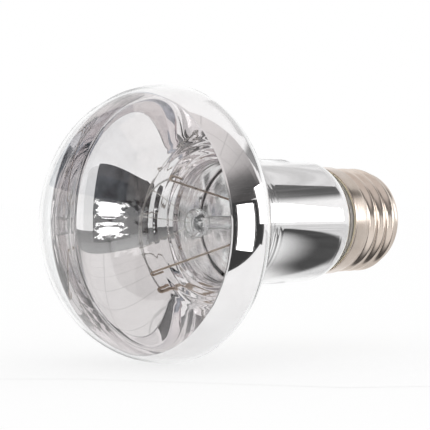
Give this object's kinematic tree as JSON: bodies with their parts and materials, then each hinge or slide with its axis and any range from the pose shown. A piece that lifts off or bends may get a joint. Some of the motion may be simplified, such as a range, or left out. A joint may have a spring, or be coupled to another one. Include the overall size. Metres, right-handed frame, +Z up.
{
  "type": "basking bulb",
  "caption": "Clear-faced reflector heat lamp: blown glass bulb mirrored inside its bowl and neck, coiled filament on a glass stem, and a nickel-plated screw cap.",
  "frame": {"origin": "tip of the centre contact, on the lamp axis, where the screw cap bottoms in its holder", "axes": "+Y along the lamp axis from the face to the cap, -Y out of the clear face, +Z up, as the lamp is shown lying level"},
  "size_m": [0.0636, 0.1025, 0.0634],
  "materials": {
    "clear_glass": "clear, polished",
    "mirror_film": "vacuum-deposited mirror",
    "stem_glass": "clear, fire-polished",
    "shield_metal": "bright stamped sheet",
    "lead_wire": "drawn, copper-flashed nickel",
    "copper_wire": "drawn copper",
    "tungsten": "drawn and coiled",
    "support_wire": "drawn",
    "nickel_shell": "bright nickel plate",
    "cement": "cured resin cement",
    "black_glass": "moulded black glass",
    "contact_plate": "stamped",
    "solder": "dull solder"
  },
  "bodies": {
    "root": {"envelope": "clear_glass", "mirror_film": "mirror_film", "stem_flare": "stem_glass", "exhaust_tube": "stem_glass", "arbor_rod": "stem_glass", "heat_shield": "shield_metal", "inner_lead_upper": "lead_wire", "inner_lead_lower": "lead_wire", "outer_lead_centre": "copper_wire", "outer_lead_side": "copper_wire", "filament": "tungsten", "support_wire_1": "support_wire", "support_wire_2": "support_wire", "support_wire_3": "support_wire", "screw_shell": "nickel_shell", "basing_cement": "cement", "cap_insulator": "black_glass", "centre_contact": "contact_plate", "contact_solder": "solder", "side_solder": "solder"}
  },
  "joints": []
}
